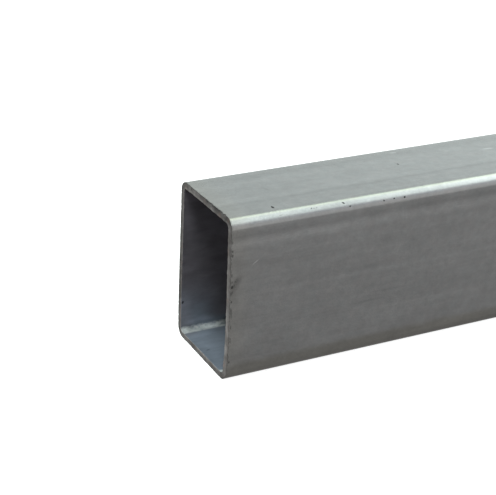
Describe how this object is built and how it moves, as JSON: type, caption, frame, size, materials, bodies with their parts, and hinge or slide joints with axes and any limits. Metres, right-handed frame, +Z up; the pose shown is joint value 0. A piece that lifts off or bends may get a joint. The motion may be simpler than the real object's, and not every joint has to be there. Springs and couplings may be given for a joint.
{
  "type": "rectangular steel tube",
  "caption": "Straight length of rectangular hollow steel section with rounded corners, even walls and plain sawn ends, used as framing stock that is cut, welded or bolted.",
  "frame": {"origin": "on the floor, under the middle of the tube's length and width", "axes": "+X along the tube, +Y across its narrow side, +Z up along its wide side"},
  "size_m": [1, 0.05, 0.08],
  "materials": {
    "mill_steel": "plain mill finish, satin grey with soft lengthwise rolling streaks, bare saw-cut ends"
  },
  "bodies": {
    "root": {"tube": "mill_steel"}
  },
  "joints": []
}
